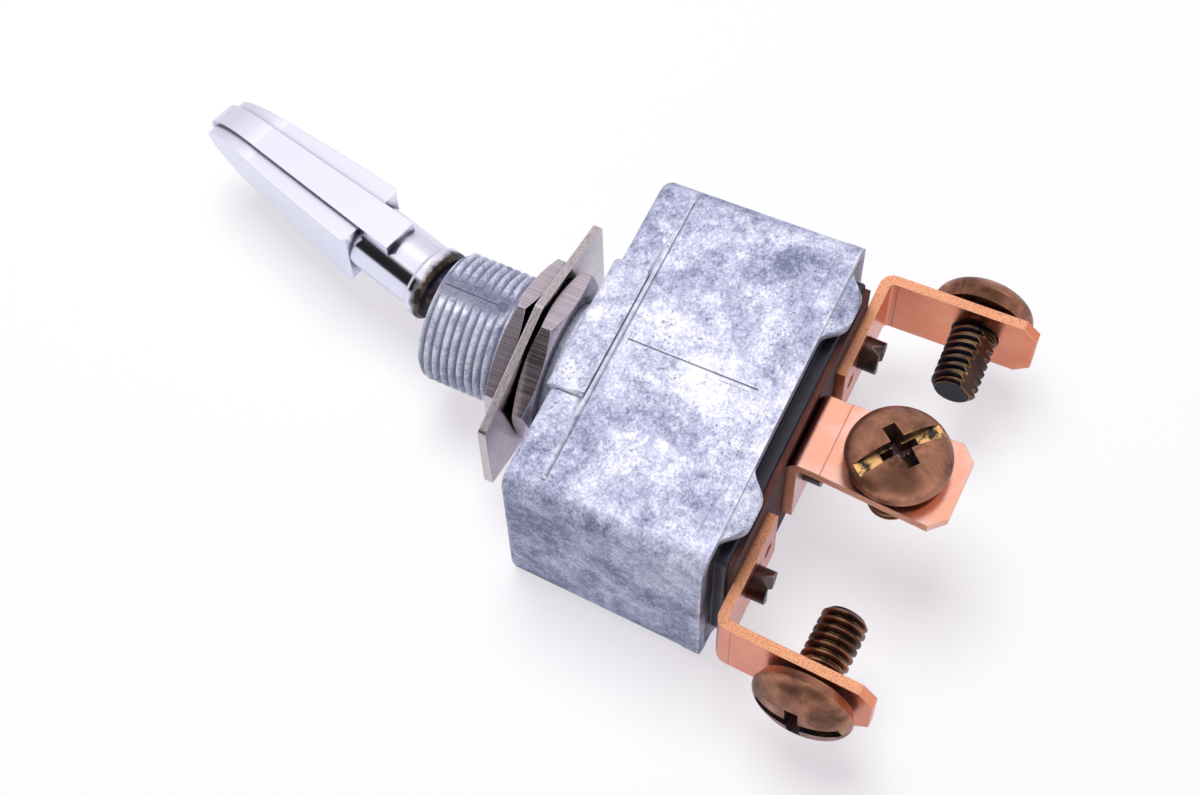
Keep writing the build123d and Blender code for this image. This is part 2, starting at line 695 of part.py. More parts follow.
def end_screw(turn):
    place = arm_plane(END_ARM_FACE, END_ARM_SPLAY, SCREW_HEIGHT).location
    return place * Pos(0, 0, END_SCREW_OUT) * Rotation(0, 0, turn) * screw()


def middle_screw(turn):
    place = arm_plane(MIDDLE_ARM_FACE, 0, MIDDLE_SCREW_HEIGHT).location
    seated = place * Pos(0, 0, MIDDLE_SCREW_OUT) * Rotation(0, 0, turn) * screw()
    return Rotation(0, 0, QUARTER_TURN) * seated


def far_side(piece):
    """Turn a piece of the +X end half round to the -X end."""
    return Rotation(0, 0, HALF_TURN) * piece


def to_row_frame(piece):
    """Origin on the bushing's axis at the front nut's face, bushing along -Y, front side up."""
    return Rotation(QUARTER_TURN, 0, 0) * Pos(0, 0, -FRONT_NUT_HIGH) * piece


PIECES = {
    "housing": housing(),
    "pivot_pin": pivot_pin(),
    "back_nut": nut(BACK_NUT_LOW, BACK_NUT_THICKNESS, BACK_NUT_TURN),
    "front_nut": nut(FRONT_NUT_LOW, FRONT_NUT_THICKNESS, FRONT_NUT_TURN),
    "plate": plate(),
    "lever": lever(),
    "plunger": plunger(),
    "plunger_spring": plunger_spring(),
    "rocker": rocker(),
    "rocker_contact_right": rocker_contact(1),
    "rocker_contact_left": rocker_contact(-1),
    "rocker_bracket": rocker_bracket(),
    "fixed_contact_right": fixed_contact(1),
    "fixed_contact_left": fixed_contact(-1),
    "base": base(),
    "insulating_sheet": insulating_sheet(),
    "terminal_right": end_terminal(),
    "terminal_left": far_side(end_terminal()),
    "terminal_middle": middle_terminal(),
    "stud_right": terminal_stud(STUD_SPACING, BASE_TOP),
    "stud_left": terminal_stud(-STUD_SPACING, BASE_TOP),
    "stud_middle": terminal_stud(0, BRACKET_TOP),
    "screw_right": end_screw(SCREW_TURN["near"]),
    "screw_left": far_side(end_screw(SCREW_TURN["far"])),
    "screw_middle": middle_screw(SCREW_TURN["middle"]),
}

os.makedirs("parts", exist_ok=True)
for name, piece in PIECES.items():
    export_step(to_row_frame(piece), f"parts/{name}.step")
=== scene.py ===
import json
import math

import bpy
from mathutils import Matrix, Vector

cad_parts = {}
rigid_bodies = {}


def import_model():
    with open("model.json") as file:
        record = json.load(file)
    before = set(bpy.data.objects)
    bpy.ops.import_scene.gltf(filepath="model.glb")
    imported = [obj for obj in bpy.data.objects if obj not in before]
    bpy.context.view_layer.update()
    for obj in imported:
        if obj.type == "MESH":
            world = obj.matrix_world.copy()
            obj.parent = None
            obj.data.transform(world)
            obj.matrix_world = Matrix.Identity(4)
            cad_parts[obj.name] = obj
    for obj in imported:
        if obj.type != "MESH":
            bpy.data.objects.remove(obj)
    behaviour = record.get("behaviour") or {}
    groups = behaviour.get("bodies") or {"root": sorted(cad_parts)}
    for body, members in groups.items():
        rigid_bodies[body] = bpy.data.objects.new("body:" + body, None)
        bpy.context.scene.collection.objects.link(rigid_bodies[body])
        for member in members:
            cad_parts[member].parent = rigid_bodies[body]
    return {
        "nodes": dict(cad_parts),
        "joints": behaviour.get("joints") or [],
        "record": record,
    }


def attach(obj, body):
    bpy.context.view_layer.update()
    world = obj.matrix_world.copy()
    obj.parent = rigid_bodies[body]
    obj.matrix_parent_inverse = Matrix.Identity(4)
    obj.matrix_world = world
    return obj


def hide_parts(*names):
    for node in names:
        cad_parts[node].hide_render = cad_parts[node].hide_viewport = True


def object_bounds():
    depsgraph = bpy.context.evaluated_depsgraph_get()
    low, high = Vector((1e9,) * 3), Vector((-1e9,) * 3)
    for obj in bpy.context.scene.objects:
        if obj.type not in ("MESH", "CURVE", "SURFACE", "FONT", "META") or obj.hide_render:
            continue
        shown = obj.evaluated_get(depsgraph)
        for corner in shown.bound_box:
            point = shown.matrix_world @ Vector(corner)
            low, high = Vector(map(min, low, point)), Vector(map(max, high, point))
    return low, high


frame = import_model()
CAD_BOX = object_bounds()

bl_info = {
    "name": "Panel Toggle Switch",
    "version": (1, 0, 0),
    "blender": (4, 5, 0),
    "location": "3D View > Sidebar > Toggle Switch",
    "description": "Dresses the packed frame of a heavy panel toggle switch",
    "category": "Object",
}

MM = 0.001
FULL_TURN = 2 * math.pi

# Points closer than this, in metres, are merged. The casting takes the larger one, and loses
# its slivers with it
MERGE_DISTANCE = 1e-7
SLIVER = 4e-6

# Mesh attribute that is 1 on a thread's crest and 0 at its root
THREAD_HEIGHT = "thread_height"

JOINTS = {joint["name"]: joint for joint in frame["joints"]}
BUSHING_RADIUS = frame["record"]["mounts"][0]["dims"]["r_mm"] * MM

# The housing's broad face: the middle of its top edge, and its lean
FACE_TOP = Vector((0, 6.5, 8.9)) * MM
DRAFT = math.radians(1.5)

# The lever at rest, from its pivot to its tip
LEVER_TIP = Vector((-9.86, -36.33, 0)) * MM
LEVER_AXIS = (LEVER_TIP - Vector(JOINTS["lever_throw"]["pos_m"])).normalized()

# Turns a piece modelled upright into the frame: its top looks along -Y, its front along +Z
UPRIGHT_TO_FRAME = Matrix(((1, 0, 0, 0), (0, 0, -1, 0), (0, 1, 0, 0), (0, 0, 0, 1)))

# Where the dark line of painted shade across each strip's bend lies, along the frame's Y
END_BEND_LINE = 28.3 * MM
MIDDLE_BEND_LINE = 29.6 * MM

# The camera's place and axes in the frame, solved from the photograph
CAMERA_PLACE = Vector((83.63, 52.02, 177.49)) * MM
CAMERA_RIGHT = Vector((-0.43338, 0.90097, -0.02085))
CAMERA_UP = Vector((-0.80328, -0.37569, 0.46216))
CAMERA_BACK = Vector((0.40856, 0.21704, 0.88655))

# Direction of the dark card that the bright metal reflects
DARK_CARD = Vector((0.78, -0.50, 0.37)).normalized()


# Settings

def length_property(name, description, default):
    return bpy.props.FloatProperty(
        name=name, description=description, default=default, unit="LENGTH", precision=6)


def angle_property(name, description, degrees):
    return bpy.props.FloatProperty(
        name=name, description=description, default=math.radians(degrees), subtype="ANGLE")


def colour_property(name, description, default):
    return bpy.props.FloatVectorProperty(
        name=name, description=description, subtype="COLOR", size=3, min=0, max=1,
        default=default)


class SwitchSizes(bpy.types.PropertyGroup):
    """Sizes of the details that are added to the frame."""
    thread_pitch: length_property(
        "Bushing Thread Pitch", "Rise of the cast thread in one turn", 0.794 * MM)
    thread_depth: length_property(
        "Bushing Thread Depth", "From the thread's crest to its root", 0.40 * MM)
    thread_flat: length_property(
        "Thread Flat", "Height of the smooth bands at the casting's parting", 5.5 * MM)
    parting_width: length_property(
        "Parting Line Width", "Width of the fine lines left by the die", 0.13 * MM)
    parting_depth: length_property(
        "Parting Line Depth", "Depth of the fine lines left by the die", 0.10 * MM)
    screw_pitch: length_property(
        "Screw Thread Pitch", "Rise of the terminal screw's thread in one turn", 0.794 * MM)
    screw_depth: length_property(
        "Screw Thread Depth", "From the screw thread's crest to its root", 0.44 * MM)
    head_radius: length_property("Screw Head Radius", "Radius of the head at its widest", 4.53 * MM)
    head_seat_radius: length_property(
        "Screw Head Seat", "Radius of the flat under the head", 4.1 * MM)
    head_rim: length_property(
        "Screw Head Rim", "Height of the head's widest part above its seat", 0.9 * MM)
    head_height: length_property("Screw Head Height", "From the head's seat to its crown", 3.1 * MM)
    shank_radius: length_property("Screw Radius", "Radius over the thread's crests", 2.085 * MM)
    shank_length: length_property("Screw Length", "From the head's seat to the flat end", 7.6 * MM)
    slot_width: length_property("Slot Width", "Width of the straight slot", 1.25 * MM)
    slot_depth: length_property("Slot Depth", "Depth of the straight slot", 1.2 * MM)
    cross_depth: length_property("Cross Depth", "Depth of the cross recess", 2.3 * MM)
    cross_span: length_property("Cross Span", "Length of the cross recess at the crown", 4.4 * MM)
    end_screw_out: length_property(
        "End Screws Out", "How far the end screws are backed off", 0.5 * MM)
    middle_screw_out: length_property(
        "Middle Screw Out", "How far the middle screw is backed off", 0.7 * MM)
    turn_right: angle_property("Right Screw Turn", "How far the right screw is turned", 97)
    turn_left: angle_property("Left Screw Turn", "How far the left screw is turned", 70)
    turn_middle: angle_property("Middle Screw Turn", "How far the middle screw is turned", -38)


class SwitchColours(bpy.types.PropertyGroup):
    """Colours of the switch's finishes."""
    zinc_pale: colour_property("Pale Zinc", "Scuffed bright patches", (0.90, 0.90, 0.98))
    zinc_light: colour_property("Light Zinc", "Between the patches", (0.60, 0.61, 0.77))
    zinc_mid: colour_property("Zinc", "The casting's usual grey", (0.45, 0.465, 0.63))
    zinc_dark: colour_property("Dark Zinc", "Dull blue-grey patches", (0.19, 0.205, 0.325))
    chrome: colour_property("Chrome", "The lever's plating", (0.87, 0.87, 0.93))
    grease: colour_property("Old Grease", "Dark grease on the lever's neck", (0.035, 0.024, 0.018))
    grease_brown: colour_property("Brown Grease", "Where the grease is thin", (0.26, 0.17, 0.10))
    nickel: colour_property("Nickel", "The nuts' plating", (0.77, 0.67, 0.70))
    plate: colour_property("Plate", "The plate's nickel", (0.74, 0.66, 0.63))
    copper: colour_property("Copper", "The terminals' faces", (0.85, 0.285, 0.145))
    copper_rubbed: colour_property("Rubbed Copper", "Patches on the end strips", (0.94, 0.38, 0.21))
    # The middle strip's two colours are paler copies of the end strips' copper: painted highlight
    # on its face
    copper_painted_highlight: colour_property("Pale Copper", "The middle terminal's face", (0.90, 0.43, 0.29))
    copper_rubbed_painted_highlight: colour_property(
        "Rubbed Pale Copper", "Patches on the middle strip", (0.97, 0.72, 0.62))
    copper_dark: colour_property("Sheared Copper", "Specks on the cut edges", (0.42, 0.15, 0.08))
    copper_cut: colour_property("Cut Copper", "The cut edges between the specks", (1.0, 0.46, 0.24))
    bronze: colour_property("Bronze", "Tarnish on the screws", (0.30, 0.135, 0.080))
    gold: colour_property("Rubbed Brass", "Brass where the tarnish is worn off", (0.90, 0.52, 0.19))
    burnt: colour_property("Burnt Brass", "The left screw's blackened thread", (0.035, 0.035, 0.05))
    black: colour_property("Black Moulding", "The base", (0.014, 0.013, 0.024))
    fibre: colour_property("Fibre", "The sheet under the base", (0.085, 0.027, 0.020))
    stud: colour_property("Stud", "The studs' tarnish", (0.080, 0.050, 0.046))
    silver: colour_property("Silver", "The contacts", (0.75, 0.74, 0.71))
    steel: colour_property("Steel", "The spring and the pin", (0.50, 0.50, 0.52))


def sizes():
    return bpy.context.scene.switch_sizes


def colours():
    return bpy.context.scene.switch_colours


# Mesh helpers

def deselect_all():
    for other in bpy.context.scene.objects:
        other.select_set(False)


def take(piece):
    """Make one piece the only selected and active one."""
    deselect_all()
    piece.select_set(True)
    bpy.context.view_layer.objects.active = piece


def new_piece(name):
    """Name the primitive that was just added."""
    piece = bpy.context.active_object
    piece.name = name
    piece.data.name = name
    return piece


def settle(piece, matrix=None):
    """Put a piece's place into its mesh and leave its object at the origin."""
    bpy.context.view_layer.update()
    piece.data.transform(piece.matrix_world)
    piece.matrix_world = Matrix.Identity(4)
    if matrix is not None:
        piece.data.transform(matrix)
    piece.data.update()


def apply_modifier(piece, kind, **settings):
    take(piece)
    modifier = piece.modifiers.new(kind.title(), kind)
    for name, value in settings.items():
        setattr(modifier, name, value)
    bpy.ops.object.modifier_apply(modifier=modifier.name)


def cut(piece, *cutters):
    """Take the cutters out of the piece, and delete them."""
    for cutter in cutters:
        apply_modifier(piece, "BOOLEAN", operation="DIFFERENCE", object=cutter, solver="EXACT")
        bpy.data.objects.remove(cutter)


def tidy_mesh(piece, merge=MERGE_DISTANCE, drop_slivers=False):
    """Merge doubled points, drop faces without area if asked, and turn every face outwards."""
    take(piece)
    bpy.ops.object.mode_set(mode="EDIT")
    bpy.ops.mesh.select_all(action="SELECT")
    bpy.ops.mesh.remove_doubles(threshold=merge)
    if drop_slivers:
        bpy.ops.mesh.dissolve_degenerate(threshold=merge)
    bpy.ops.mesh.normals_make_consistent(inside=False)
    bpy.ops.object.mode_set(mode="OBJECT")


def smooth(piece):
    """Smooth the curved faces and keep the large flat ones flat."""
    take(piece)
    bpy.ops.object.shade_smooth_by_angle(angle=math.radians(32))
    apply_modifier(piece, "WEIGHTED_NORMAL", keep_sharp=True, weight=90)


def cad_copy(node, name):
    """A merged copy of a CAD node's mesh, for detail to be cut into."""
    piece = bpy.data.objects.new(name, frame["nodes"][node].data.copy())
    bpy.context.scene.collection.objects.link(piece)
    piece.data.materials.clear()
    tidy_mesh(piece)
    return piece


def box_cutter(low, high):
    """A block between two corners, in metres."""
    deselect_all()
    low, high = Vector(map(min, low, high)), Vector(map(max, low, high))
    bpy.ops.mesh.primitive_cube_add(size=1, location=(low + high) / 2, scale=high - low)
    piece = new_piece("cutter")
    settle(piece)
    return piece


def copy_piece(source, name):
    """A copy with its own mesh."""
    piece = source.copy()
    piece.data = source.data.copy()
    piece.name = name
    piece.data.name = name
    bpy.context.scene.collection.objects.link(piece)
    return piece


def thread_cutter(radius, depth, pitch, low, high, steps=56):
    """A coil of V section that cuts a thread into an upright shank."""
    deselect_all()
    bpy.ops.mesh.primitive_circle_add(vertices=4, radius=pitch, fill_type="NGON")
    piece = new_piece("thread_cutter")
    root = radius - depth
    outer = radius + 0.12 * pitch
    root_half = 0.07 * pitch
    outer_half = 0.46 * pitch
    section = ((root, -root_half), (outer, -outer_half), (outer, outer_half), (root, root_half))
    for vertex, (r, z) in zip(piece.data.vertices, section):
        vertex.co = (r, 0, z + low)
    turns = math.ceil((high - low) / pitch)
    apply_modifier(
        piece, "SCREW", axis="Z", angle=FULL_TURN, screw_offset=pitch, iterations=turns,
        steps=steps, render_steps=steps, use_smooth_shade=False)
    take(piece)
    bpy.ops.object.mode_set(mode="EDIT")
    bpy.ops.mesh.select_all(action="SELECT")
    bpy.ops.mesh.remove_doubles(threshold=MERGE_DISTANCE)
    bpy.ops.mesh.fill_holes(sides=4)
    bpy.ops.mesh.normals_make_consistent(inside=False)
    bpy.ops.object.mode_set(mode="OBJECT")
    return piece


def turned(name, profile, sides):
    """Turn a profile of radius and height pairs about Z, from its first ring to its last."""
    deselect_all()
    radius, height = profile[0]
    bpy.ops.mesh.primitive_circle_add(
        vertices=sides, radius=radius, fill_type="NGON", location=(0, 0, height))
    piece = new_piece(name)
    bpy.ops.object.mode_set(mode="EDIT")
    bpy.ops.mesh.select_all(action="SELECT")
    for next_radius, next_height in profile[1:]:
        bpy.ops.mesh.extrude_region_move(
            TRANSFORM_OT_translate={"value": (0, 0, next_height - height)})
        share = next_radius / radius
        bpy.ops.transform.resize(value=(share, share, 1), center_override=(0, 0, next_height))
        radius, height = next_radius, next_height
    bpy.ops.object.mode_set(mode="OBJECT")
    settle(piece)
    tidy_mesh(piece)
    return piece


# Material helpers

def shade(colour, share):
    """A colour made darker or lighter by one share."""
    return [channel * share for channel in colour]


def set_stops(ramp, stops):
    """Give a colour ramp its pairs of position and colour."""
    while len(ramp.elements) < len(stops):
        ramp.elements.new(0.5)
    for element, (position, colour) in zip(ramp.elements, stops):
        element.position = position
        element.color = (*colour[:3], 1)


class Finish:
    """One procedural material, built node by node."""

    def __init__(self, name):
        self.material = bpy.data.materials.new(name)
        self.material.use_nodes = True
        self.tree = self.material.node_tree
        self.tree.nodes.clear()
        self.output = self.add("ShaderNodeOutputMaterial", {})
        self.surface = self.add("ShaderNodeBsdfPrincipled", {})
        self.tree.links.new(self.surface.outputs["BSDF"], self.output.inputs["Surface"])
        self.place = self.add("ShaderNodeTexCoord", {}).outputs["Object"]

    def add(self, kind, inputs, **settings):
        """Add a node with its settings, and feed its inputs."""
        node = self.tree.nodes.new(kind)
        for name, value in settings.items():
            setattr(node, name, value)
        for name, value in inputs.items():
            self.feed(node.inputs[name], value)
        return node

    def feed(self, socket, value):
        """Link another node's output to a socket, or set the socket's own value."""
        if isinstance(value, bpy.types.NodeSocket):
            self.tree.links.new(value, socket)
        elif socket.type == "RGBA":
            socket.default_value = (*value[:3], 1)
        else:
            socket.default_value = value

    def set(self, **values):
        """Feed the surface's inputs, named with underscores for spaces."""
        for name, value in values.items():
            self.feed(self.surface.inputs[name.replace("_", " ")], value)

    def stretched(self, scale):
        """Object coordinates, scaled apart along the three axes."""
        node = self.add("ShaderNodeMapping", {"Vector": self.place, "Scale": scale})
        return node.outputs["Vector"]

    def noise(self, scale, detail=4, roughness=0.55, distortion=0, at=None):
        node = self.add("ShaderNodeTexNoise", {
            "Vector": at or self.place, "Scale": scale, "Detail": detail,
            "Roughness": roughness, "Distortion": distortion})
        return node.outputs["Fac"]

    def ramp(self, value, *stops):
        """A colour for each value, from pairs of position and colour."""
        node = self.add("ShaderNodeValToRGB", {"Fac": value})
        set_stops(node.color_ramp, stops)
        return node.outputs["Color"]

    def remap(self, value, low, high, to_low=0.0, to_high=1.0):
        node = self.add("ShaderNodeMapRange", {
            "Value": value, "From Min": low, "From Max": high,
            "To Min": to_low, "To Max": to_high}, clamp=True)
        return node.outputs["Result"]

    def maths(self, operation, a, b=0.0):
        node = self.add("ShaderNodeMath", {0: a, 1: b}, operation=operation)
        return node.outputs["Value"]

    def plus(self, a, b):
        return self.maths("ADD", a, b)

    def minus(self, a, b):
        return self.maths("SUBTRACT", a, b)

    def times(self, a, b):
        return self.maths("MULTIPLY", a, b)

    def mix(self, share, a, b):
        node = self.add("ShaderNodeMix", {0: share, 6: a, 7: b}, data_type="RGBA")
        return node.outputs[2]

    def split(self, vector, axis):
        return self.add("ShaderNodeSeparateXYZ", {0: vector}).outputs[axis]

    def rounded(self, radius):
        """Normal of a surface whose edges are rounded over."""
        return self.add("ShaderNodeBevel", {"Radius": radius}, samples=4).outputs["Normal"]

    def edge(self, radius, sharp=0.92):
        """A mask that is 1 on edges."""
        geometry = self.add("ShaderNodeNewGeometry", {})
        dot = self.add("ShaderNodeVectorMath", {
            0: self.rounded(radius), 1: geometry.outputs["Normal"]}, operation="DOT_PRODUCT")
        return self.remap(dot.outputs["Value"], 1.0, sharp)

    def painted_gap_shade(self, distance, open_level=0.80, shut_level=0.35):
        """A mask that is 1 in narrow gaps and corners, where shade is painted."""
        node = self.add("ShaderNodeAmbientOcclusion", {"Distance": distance}, samples=6)
        return self.remap(node.outputs["AO"], open_level, shut_level)

    def thread_root(self):
        """A mask that is 1 at the root of a thread whose heights are marked in the mesh."""
        node = self.add("ShaderNodeAttribute", {}, attribute_name=THREAD_HEIGHT)
        return self.remap(node.outputs["Fac"], 0.75, 0.0)

    def bump(self, height, strength, distance, normal=None):
        inputs = {"Height": height, "Strength": strength, "Distance": distance}
        if normal is not None:
            inputs["Normal"] = normal
        return self.add("ShaderNodeBump", inputs).outputs["Normal"]


def zinc_painted_shade(finish):
    """How much shade is painted on the casting's end faces and towards its far end."""
    across = finish.split(finish.place, 0)
    end_face_shade = finish.remap(finish.maths("ABSOLUTE", across), 15.0 * MM, 16.0 * MM, 0, 0.036)
    far_end_shade = finish.remap(across, -5 * MM, -17 * MM, 0, 0.022)
    return finish.plus(end_face_shade, far_end_shade)


def zinc_scuffs(finish, mottle):
    """A mask of thin curled scratches, broken up by the mottling."""
    swirl = finish.noise(520, detail=3, roughness=0.5, distortion=3.0)
    line = finish.remap(finish.maths("ABSOLUTE", finish.minus(swirl, 0.5)), 0.016, 0.002)
    return finish.times(line, finish.remap(mottle, 0.42, 0.56))


def zinc_pits(finish):
    """A mask of small dark pits that come in clusters."""
    pits = finish.remap(finish.noise(2600, detail=5, roughness=0.75), 0.57, 0.64)
    clusters = finish.remap(finish.noise(330, detail=3), 0.47, 0.58)
    return finish.times(pits, clusters)


def zinc_finish():
    """Scuffed die casting: pale patches, fine mottling, small dark pits and painted shade on its
    ends.
    """
    finish = Finish("die_cast_zinc")
    tint = colours()
    broad = finish.noise(170, detail=6, roughness=0.62, distortion=0.8)
    mottle = finish.noise(1000, detail=9, roughness=0.78, distortion=0.5)
    speckle = finish.noise(4200, detail=5, roughness=0.75)
    fine = finish.plus(finish.times(mottle, 0.32), finish.times(speckle, 0.30))
    patches = finish.plus(finish.times(broad, 0.38), fine)
    # Painted shade on the end faces and towards the far end, which also makes them a little rougher
    patches = finish.minus(patches, zinc_painted_shade(finish))
    colour = finish.ramp(
        patches, (0.40, tint.zinc_dark), (0.47, tint.zinc_mid), (0.505, tint.zinc_light),
        (0.56, tint.zinc_pale))
    colour = finish.mix(finish.times(zinc_scuffs(finish, mottle), 0.55), colour, tint.zinc_pale)
    pits = zinc_pits(finish)
    colour = finish.mix(finish.times(pits, 0.8), colour, tint.zinc_dark)
    # Pale edges: wear in patches, and painted highlight
    edge_wear_and_highlight = finish.times(finish.edge(0.50 * MM), finish.remap(mottle, 0.38, 0.6, 0.25, 0.9))
    colour = finish.mix(edge_wear_and_highlight, colour, tint.zinc_pale)
    # Painted shade in narrow gaps and corners
    hollow_shade = finish.times(finish.painted_gap_shade(0.7 * MM), 0.6)
    colour = finish.mix(hollow_shade, colour, shade(tint.zinc_dark, 0.35))
    # Painted shade in the thread's roots
    root = finish.times(finish.thread_root(), 0.75)
    colour = finish.mix(root, colour, shade(tint.zinc_dark, 0.6))
    relief = finish.minus(finish.times(mottle, 0.7), pits)
    finish.set(
        Base_Color=colour, Metallic=0.30, Roughness=finish.remap(patches, 0.40, 0.58, 0.58, 0.42),
        Normal=finish.bump(relief, 0.42, 0.10 * MM, finish.rounded(0.05 * MM)))
    return finish.material


def chrome_finish():
    """Bright plate on the lever, with old grease where it comes out of the bushing."""
    finish = Finish("chrome_and_grease")
    tint = colours()
    along = finish.add("ShaderNodeVectorMath", {
        0: finish.place, 1: LEVER_AXIS}, operation="DOT_PRODUCT").outputs["Value"]
    smear = finish.noise(700, detail=5, roughness=0.6)
    height = finish.plus(along, finish.times(smear, 1.6 * MM))
    pivot = Vector(JOINTS["lever_throw"]["pos_m"]).dot(LEVER_AXIS)
    greasy = finish.remap(height, pivot + 9.5 * MM, pivot + 8.9 * MM)
    haze = finish.noise(260, detail=5)
    grease = finish.mix(finish.remap(smear, 0.50, 0.70), tint.grease, tint.grease_brown)
    colour = finish.mix(greasy, tint.chrome, grease)
    # Painted shade: dark blue in the lever's gaps and corners
    colour = finish.mix(finish.painted_gap_shade(1.1 * MM, 0.86, 0.5), colour, (0.03, 0.03, 0.09))
    finish.set(
        Base_Color=colour, Metallic=finish.remap(greasy, 0, 1, 1.0, 0.35),
        Roughness=finish.plus(finish.remap(haze, 0.35, 0.7, 0.05, 0.12),
                              finish.times(greasy, 0.28)),
        Normal=finish.bump(finish.noise(420, detail=2), 0.05, 0.05 * MM,
                           finish.rounded(0.12 * MM)))
    return finish.material


def nickel_finish(name, tint, striped):
    """Plated steel. The nuts' flats carry fine lines along the bushing."""
    finish = Finish(name)
    broad = finish.noise(180, detail=5)
    scale = (1, 0.02, 1) if striped else (0.25, 1, 1)
    lines = finish.noise(5200, detail=3, at=finish.stretched(scale))
    colour = finish.mix(finish.remap(lines, 0.35, 0.7), shade(tint, 0.66), tint)
    stain = finish.remap(broad, 0.60, 0.78, 0, 0.35)
    colour = finish.mix(stain, colour, (0.24, 0.16, 0.14))
    # Painted highlight: near-white edges
    edge_wear_and_highlight = finish.times(finish.edge(0.16 * MM), 0.8)
    colour = finish.mix(edge_wear_and_highlight, colour, (0.95, 0.92, 0.92))
    # Painted shade in gaps, such as under the back nut
    colour = finish.mix(finish.painted_gap_shade(1.6 * MM, 0.78, 0.30), colour, (0.05, 0.035, 0.03))
    finish.set(
        Base_Color=colour, Metallic=1.0,
        Roughness=finish.remap(lines, 0.3, 0.7, 0.16, 0.26),
        Normal=finish.bump(lines, 0.25 if striped else 0.08, 0.03 * MM,
                           finish.rounded(0.10 * MM)))
    return finish.material


def copper_finish(name, cut_axis, bend_line, plain, rubbed_and_highlight):
    """Satin copper strip, rubbed paler in patches.

    Its rough sheared edges look along cut_axis, and a thin dark line of painted shade crosses it at
    its bend."""
    finish = Finish(name)
    tint = colours()
    normal = finish.add("ShaderNodeTexCoord", {}).outputs["Normal"]
    sheared = finish.remap(
        finish.maths("ABSOLUTE", finish.split(normal, cut_axis)), 0.72, 0.9)
    grains = finish.noise(7000, detail=4, roughness=0.75)
    tone = finish.noise(190, detail=7, roughness=0.62)
    face = finish.mix(finish.remap(tone, 0.40, 0.62, 0, 0.8), plain, rubbed_and_highlight)
    stain = finish.remap(finish.noise(430, detail=7, roughness=0.72), 0.60, 0.74, 0, 0.65)
    face = finish.mix(stain, face, tint.copper_dark)
    edge = finish.mix(finish.remap(grains, 0.34, 0.50), tint.copper_dark, tint.copper_cut)
    colour = finish.mix(sheared, face, edge)
    along = finish.split(finish.place, 1)
    line = finish.remap(
        finish.maths("ABSOLUTE", finish.minus(along, bend_line)), 0.09 * MM, 0.03 * MM)
    line = finish.times(line, finish.minus(1.0, sheared))
    # Painted shade: a thin dark line across the strip at its bend
    colour = finish.mix(finish.times(line, 0.7), colour, tint.copper_dark)
    # Painted shade in gaps and corners
    colour = finish.mix(finish.painted_gap_shade(0.7 * MM), colour, (0.10, 0.03, 0.02))
    # Painted highlight: pale copper along the edges
    edge_wear_and_highlight = finish.times(finish.edge(0.14 * MM), 0.55)
    colour = finish.mix(edge_wear_and_highlight, colour, (1.0, 0.66, 0.46))
    brushed = finish.noise(2400, detail=3, at=finish.stretched((0.08, 1, 1)))
    relief = finish.plus(finish.times(grains, sheared), finish.times(brushed, 0.15))
    finish.set(
        Base_Color=colour, Metallic=finish.remap(sheared, 0, 1, 1.0, 0.5),
        Roughness=finish.plus(finish.remap(tone, 0.3, 0.7, 0.20, 0.34),
                              finish.times(sheared, 0.12)),
        Normal=finish.bump(relief, 0.5, 0.10 * MM, finish.rounded(0.14 * MM)))
    return finish.material


def bronze_finish(name, tint, rubbed_and_highlight, threaded=True):
    """Tarnished brass, with painted shade in its thread's roots, and gold on its edges: rubbed wear
    with painted highlight.
    """
    finish = Finish(name)
    cloud = finish.noise(330, detail=7, roughness=0.62, distortion=0.5)
    grain = finish.noise(3000, detail=3)
    colour = finish.ramp(
        cloud, (0.34, shade(tint, 0.35)), (0.48, tint), (0.66, shade(tint, 1.7)))
    if threaded:
        # Painted shade in the thread's roots
        root = finish.times(finish.thread_root(), 0.9)
        colour = finish.mix(root, colour, shade(tint, 0.12))
    # Gold edges and crests: rubbed wear, and painted highlight
    edge_wear_and_highlight = finish.times(
        finish.edge(0.14 * MM, 0.9), finish.remap(cloud, 0.42, 0.62, 0.0, rubbed_and_highlight))
    colour = finish.mix(edge_wear_and_highlight, colour, colours().gold)
    finish.set(
        Base_Color=colour, Metallic=0.85, Roughness=finish.remap(cloud, 0.35, 0.7, 0.44, 0.26),
        Normal=finish.bump(grain, 0.12, 0.05 * MM, finish.rounded(0.08 * MM)))
    return finish.material


def recess_finish(name, tint, bright):
    """The floor and walls of a slot or a recess: dark, with brighter metal in patches."""
    finish = Finish(name)
    cloud = finish.noise(900, detail=6, roughness=0.7, distortion=0.6)
    colour = finish.mix(finish.remap(cloud, 0.42, 0.54), tint, bright)
    finish.set(
        Base_Color=colour, Metallic=0.35, Roughness=finish.remap(cloud, 0.3, 0.7, 0.5, 0.34),
        Normal=finish.bump(cloud, 0.4, 0.06 * MM))
    return finish.material


def black_finish():
    """Moulded black base with a little pale dust."""
    finish = Finish("black_moulding")
    grain = finish.noise(1500, detail=5, roughness=0.65)
    dust = finish.remap(finish.noise(2600, detail=4, roughness=0.8), 0.62, 0.74)
    colour = finish.mix(finish.times(dust, 0.5), colours().black, (0.12, 0.12, 0.15))
    finish.set(
        Base_Color=colour, Roughness=finish.remap(grain, 0.3, 0.7, 0.24, 0.42),
        Normal=finish.bump(grain, 0.15, 0.06 * MM, finish.rounded(0.25 * MM)))
    return finish.material


